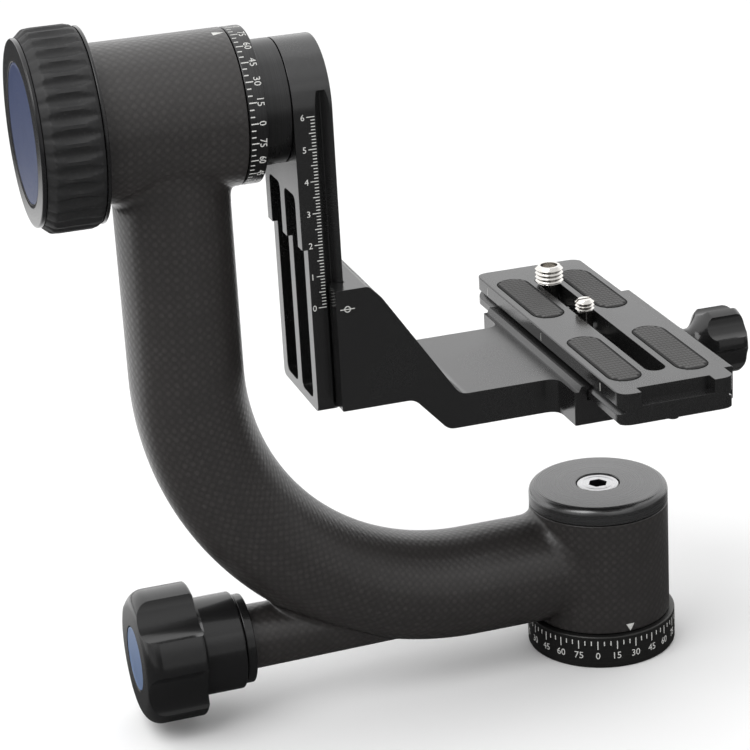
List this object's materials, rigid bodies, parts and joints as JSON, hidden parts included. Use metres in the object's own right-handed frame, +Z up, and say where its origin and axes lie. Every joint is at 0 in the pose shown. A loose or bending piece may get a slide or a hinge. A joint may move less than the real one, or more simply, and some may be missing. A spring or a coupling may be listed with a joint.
{
  "type": "gimbal tripod head",
  "caption": "Side-arm gimbal tripod head: a curved arm pans on a round base and carries a tilting plate with a height-adjustable lens bracket, quick-release clamp and sliding plate.",
  "frame": {"origin": "centre of the base's underside, where the tripod stud enters", "axes": "+Z up along the pan axis; X along the tilt axis, with the tilt knob toward -X and the quick-release clamp knob toward +X; -Y is the side that carries the engraved height scale"},
  "size_m": [0.2304, 0.1266, 0.2321],
  "materials": {
    "carbon": "satin clear-coated carbon weave",
    "anodised": "black anodised, fine bead-blast",
    "knob": "near-black satin",
    "clamp_paint": "near-black satin paint",
    "gloss": "polished black",
    "rubber": "matte black",
    "steel": "turned steel",
    "nickel": "bright nickel plate",
    "brass": "machined",
    "navy": "dark navy, satin",
    "sky": "pale blue, satin"
  },
  "bodies": {
    "base": {"pan_base_ring": "anodised", "thread_bush": "steel", "spindle_screw_1": "steel", "spindle_screw_2": "steel", "spindle_screw_3": "steel", "pan_spindle": "steel", "pan_centre_screw": "nickel", "pan_retaining_washer": "steel", "pan_lower_inner_race": "steel", "pan_upper_inner_race": "steel"},
    "arm": {"gimbal_arm": "carbon", "pan_liner": "anodised", "pan_cap": "gloss", "pan_lower_outer_race": "steel", "pan_upper_outer_race": "steel", "tilt_liner": "anodised", "tilt_left_outer_race": "steel", "tilt_right_outer_race": "steel", "tilt_end_plate": "steel", "pan_lock_bush": "anodised"},
    "pan_lock_knob": {"pan_knob": "knob", "pan_knob_disc": "sky"},
    "pan_brake": {"pan_lock_rod": "steel", "pan_brake_shoe": "brass"},
    "tilt_lock_knob": {"tilt_knob_core": "knob", "tilt_knob_grip": "rubber", "tilt_knob_cap": "gloss", "tilt_knob_disc": "navy"},
    "tilt_brake": {"tilt_lock_screw": "steel", "tilt_brake_pad": "brass"},
    "cradle_plate": {"tilt_axle": "steel", "tilt_scale_ring": "anodised", "tilt_hub": "anodised", "swing_plate": "anodised", "axle_bolt": "steel", "tilt_left_inner_race": "steel", "tilt_right_inner_race": "steel"},
    "bracket": {"lens_bracket": "anodised", "height_gib": "brass", "height_screw_1": "steel", "height_screw_2": "steel", "jaw_guide_pin_1": "steel", "jaw_guide_pin_2": "steel", "jaw_spring_1": "steel", "jaw_spring_2": "steel"},
    "jaw": {"moving_jaw": "anodised"},
    "clamp_lock_knob": {"clamp_knob": "clamp_paint", "clamp_screw": "steel", "clamp_washer": "steel"},
    "plate": {"sliding_plate": "anodised", "rubber_pad_1": "rubber", "rubber_pad_2": "rubber", "rubber_pad_3": "rubber", "rubber_pad_4": "rubber", "plate_stop_screw_1": "steel", "plate_stop_screw_2": "steel"},
    "large_screw_washer": {"camera_screw_large_washer": "steel"},
    "large_screw": {"camera_screw_large": "nickel"},
    "small_screw_washer": {"camera_screw_small_washer": "steel"},
    "small_screw": {"camera_screw_small": "nickel"}
  },
  "joints": [
    {"name": "pan", "type": "hinge", "parent": "base", "child": "arm", "pos_m": [0, 0, 0], "axis": [0, 0, 1], "continuous": true},
    {"name": "pan_lock_turn", "type": "hinge", "parent": "arm", "child": "pan_lock_knob", "pos_m": [-0.145, 0, 0.0247], "axis": [1, 0, 0], "range_deg": [-360, 0]},
    {"name": "pan_brake_slide", "type": "slide", "parent": "arm", "child": "pan_brake", "axis": [1, 0, 0], "range_m": [-0.001, 0]},
    {"name": "tilt_lock_turn", "type": "hinge", "parent": "arm", "child": "tilt_lock_knob", "pos_m": [-0.168, 0, 0.2016], "axis": [1, 0, 0], "range_deg": [-360, 0]},
    {"name": "tilt_brake_slide", "type": "slide", "parent": "arm", "child": "tilt_brake", "axis": [1, 0, 0], "range_m": [-0.001, 0]},
    {"name": "tilt", "type": "hinge", "parent": "arm", "child": "cradle_plate", "pos_m": [-0.125, 0, 0.2016], "axis": [1, 0, 0], "continuous": true},
    {"name": "height", "type": "slide", "parent": "cradle_plate", "child": "bracket", "axis": [0, 0, 1], "range_m": [0, 0.06]},
    {"name": "jaw_slide", "type": "slide", "parent": "bracket", "child": "jaw", "axis": [1, 0, 0], "range_m": [0, 0.0025]},
    {"name": "clamp_turn", "type": "hinge", "parent": "jaw", "child": "clamp_lock_knob", "pos_m": [0.04, 0, 0.10018], "axis": [1, 0, 0], "range_deg": [0, 900]},
    {"name": "plate_slide", "type": "slide", "parent": "bracket", "child": "plate", "axis": [0, 1, 0], "range_m": [-0.012, 0.018]},
    {"name": "large_screw_slide", "type": "slide", "parent": "plate", "child": "large_screw_washer", "axis": [0, 1, 0], "range_m": [-0.012, 0.004]},
    {"name": "large_screw_turn", "type": "hinge", "parent": "large_screw_washer", "child": "large_screw", "pos_m": [0, 0.039, 0.11], "axis": [0, 0, 1], "continuous": true},
    {"name": "small_screw_slide", "type": "slide", "parent": "plate", "child": "small_screw_washer", "axis": [0, 1, 0], "range_m": [-0.056, 0.0054]},
    {"name": "small_screw_turn", "type": "hinge", "parent": "small_screw_washer", "child": "small_screw", "pos_m": [0, 0.0076, 0.11], "axis": [0, 0, 1], "continuous": true}
  ],
  "couplings": [
    {"joint": "pan_brake_slide", "follows": "pan_lock_turn", "m_per_rad": 0.00015915},
    {"joint": "tilt_brake_slide", "follows": "tilt_lock_turn", "m_per_rad": 0.00015915},
    {"joint": "jaw_slide", "follows": "clamp_turn", "m_per_rad": 0.00015915}
  ]
}
